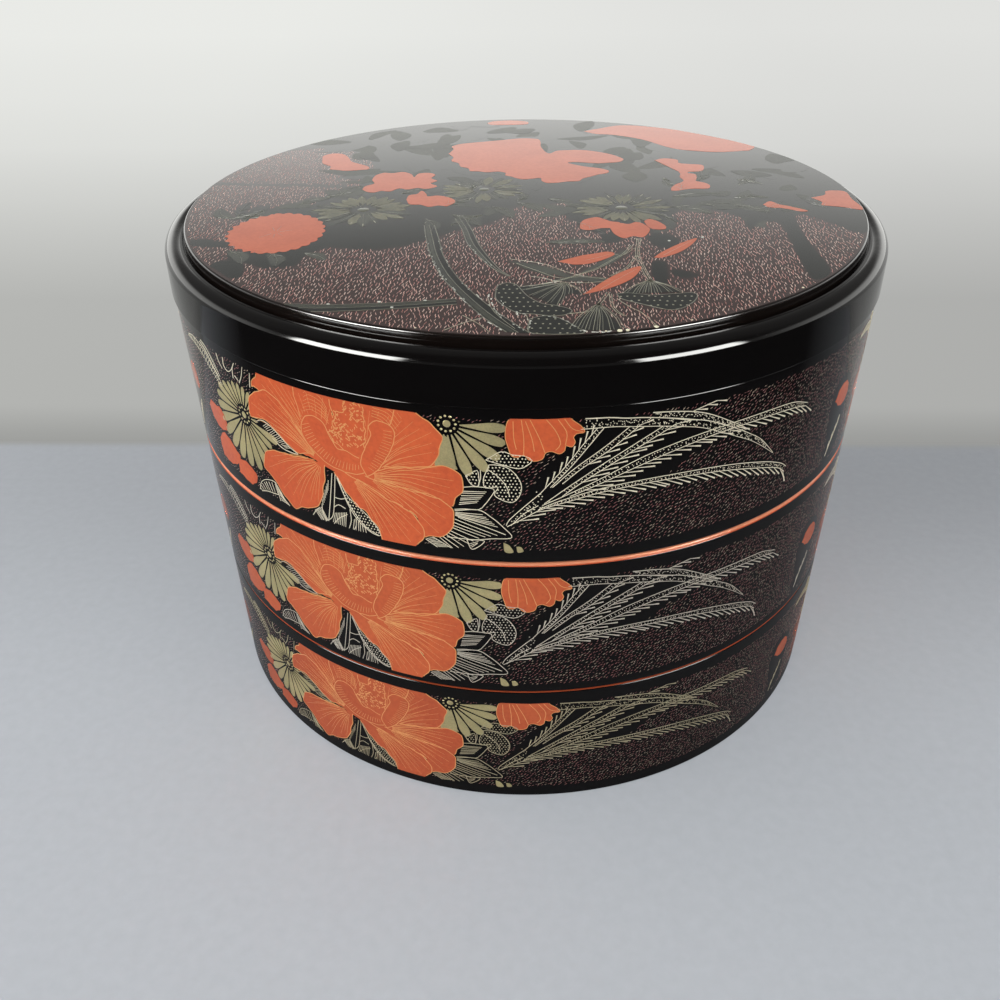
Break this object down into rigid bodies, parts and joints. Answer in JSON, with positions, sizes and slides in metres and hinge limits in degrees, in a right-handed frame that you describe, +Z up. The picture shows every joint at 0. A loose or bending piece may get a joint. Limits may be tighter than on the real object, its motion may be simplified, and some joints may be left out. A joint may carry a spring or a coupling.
{
  "type": "round stacking box",
  "caption": "Round lidded box of stacked lacquered tiers; each tier sits on a locating ring in the rim of the one below, and the lid lifts off.",
  "frame": {"origin": "centre of the foot of the lowest wall, on the table", "axes": "+Z up through the lid, -Y towards the front, where the large peony stands left of the middle"},
  "size_m": [0.2258, 0.2258, 0.1582],
  "materials": {
    "black_lacquer": "polished black lacquer over wood, with bands of raised gold and vermilion flowers",
    "vermilion_lacquer": "satin vermilion lacquer over wood",
    "gold_powder": "dull gold powder and pale gold lines under clear lacquer",
    "rose_powder": "rose-brown powder strokes under clear lacquer"
  },
  "bodies": {
    "lower_tier": {"lower_tier_wall": "black_lacquer", "lower_tier_floor": "vermilion_lacquer", "lower_tier_locating_ring": "vermilion_lacquer"},
    "middle_tier": {"middle_tier_wall": "black_lacquer", "middle_tier_floor": "vermilion_lacquer", "middle_tier_locating_ring": "vermilion_lacquer"},
    "upper_tier": {"upper_tier_wall": "black_lacquer", "upper_tier_floor": "vermilion_lacquer", "upper_tier_locating_ring": "vermilion_lacquer"},
    "lid": {"lid_hoop": "black_lacquer", "lid_top_board": "black_lacquer"}
  },
  "joints": [
    {"name": "middle_tier_lift", "type": "slide", "parent": "lower_tier", "child": "middle_tier", "axis": [0, 0, 1], "range_m": [0, 0.1]},
    {"name": "upper_tier_lift", "type": "slide", "parent": "middle_tier", "child": "upper_tier", "axis": [0, 0, 1], "range_m": [0, 0.1]},
    {"name": "lid_lift", "type": "slide", "parent": "upper_tier", "child": "lid", "axis": [0, 0, 1], "range_m": [0, 0.1]}
  ]
}
